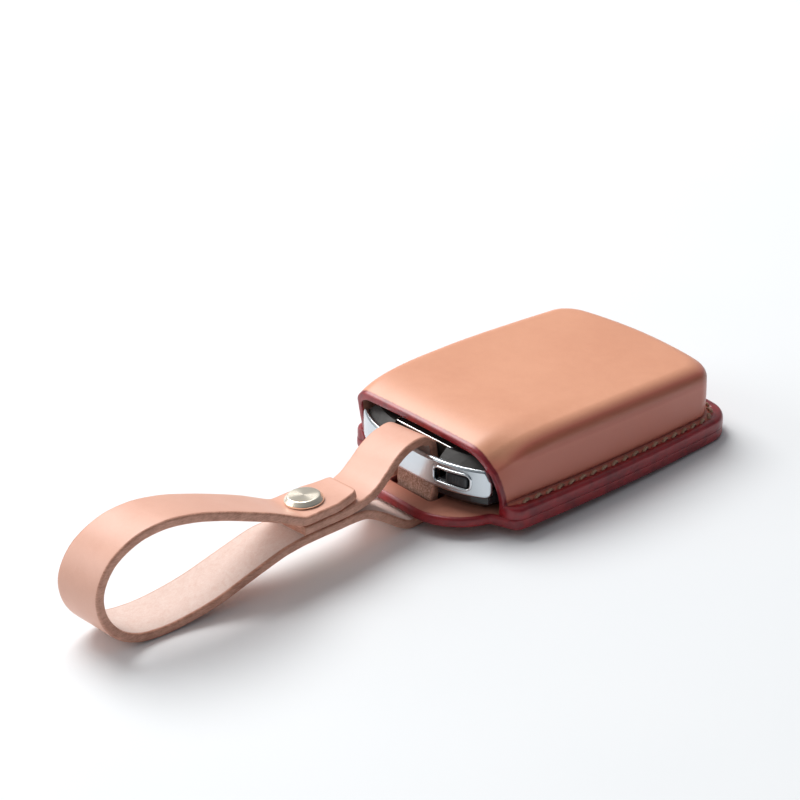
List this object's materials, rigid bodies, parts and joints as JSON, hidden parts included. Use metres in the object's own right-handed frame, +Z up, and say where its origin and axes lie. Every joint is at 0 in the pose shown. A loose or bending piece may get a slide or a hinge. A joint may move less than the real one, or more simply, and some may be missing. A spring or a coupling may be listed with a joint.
{
  "type": "key fob cover",
  "caption": "Moulded leather cover stitched round a key fob, with a slotted tongue and a wrist strap looped through it and held by a screw post.",
  "frame": {"origin": "on the floor, under the middle of the overall box", "axes": "+Y from the strap loop through the mouth towards the closed end of the cover, +Z up, +X to the right seen from the strap's end"},
  "size_m": [0.056, 0.1634, 0.0262],
  "materials": {
    "shell_leather": "moulded vegetable-tanned leather, waxed",
    "base_leather": "flat leather with dark red painted edge",
    "strap_leather": "natural leather strap, grain side out",
    "thread": "waxed thread",
    "post_metal": "satin champagne plating",
    "bright_trim": "polished",
    "dark_trim": "fine satin",
    "black_plastic": "gloss",
    "black_matte": "matte",
    "soft_black": "soft touch",
    "blade_steel": "milled",
    "board": "solder-masked board",
    "switch_metal": "stamped",
    "ferrite": "moulded",
    "cell_steel": "nickel-plated",
    "contact_metal": "spring bronze"
  },
  "bodies": {
    "cover": {"molded_shell": "shell_leather", "base_panel": "base_leather", "flange_stitching": "thread", "strap_threaded_end": "strap_leather", "fob_lower_housing": "black_matte", "fob_upper_housing": "black_plastic", "housing_gasket": "soft_black", "fob_face_trim": "bright_trim", "fob_end_bar": "bright_trim", "slider_bezel": "dark_trim", "slider_spring": "blade_steel", "emergency_blade": "blade_steel", "circuit_board": "board", "tactile_switches": "switch_metal", "button_frame": "soft_black", "antenna_block": "ferrite", "coin_cell": "cell_steel", "battery_clip": "contact_metal"},
    "strap": {"strap_loop": "strap_leather", "screw_post": "post_metal"},
    "post_screw": {"post_screw": "post_metal"},
    "slider": {"release_slider": "black_plastic"},
    "lock": {"lock_button": "soft_black"},
    "unlock": {"unlock_button": "soft_black"},
    "boot": {"boot_button": "soft_black"}
  },
  "joints": [
    {"name": "strap_lift", "type": "hinge", "parent": "cover", "child": "strap", "pos_m": [0, -0.0022, 0.0172], "axis": [-1, 0, 0], "range_deg": [0, 40]},
    {"name": "post_screw_turn", "type": "hinge", "parent": "strap", "child": "post_screw", "pos_m": [0.0023, -0.028, 0.01145], "axis": [-0.0698, 0, 0.9976], "continuous": true},
    {"name": "release_slide", "type": "slide", "parent": "cover", "child": "slider", "axis": [-0.9617, -0.2738, 0.0079], "range_m": [0, 0.0026], "stiffness_N_per_m": 150, "springref_m": -0.001},
    {"name": "lock_press", "type": "slide", "parent": "cover", "child": "lock", "axis": [0, -0.0288, -0.9996], "range_m": [0, 0.0004], "stiffness_N_per_m": 1500, "springref_m": -0.0001},
    {"name": "unlock_press", "type": "slide", "parent": "cover", "child": "unlock", "axis": [0, -0.0288, -0.9996], "range_m": [0, 0.0004], "stiffness_N_per_m": 1500, "springref_m": -0.0001},
    {"name": "boot_press", "type": "slide", "parent": "cover", "child": "boot", "axis": [0, -0.0288, -0.9996], "range_m": [0, 0.0004], "stiffness_N_per_m": 1500, "springref_m": -0.0001}
  ]
}
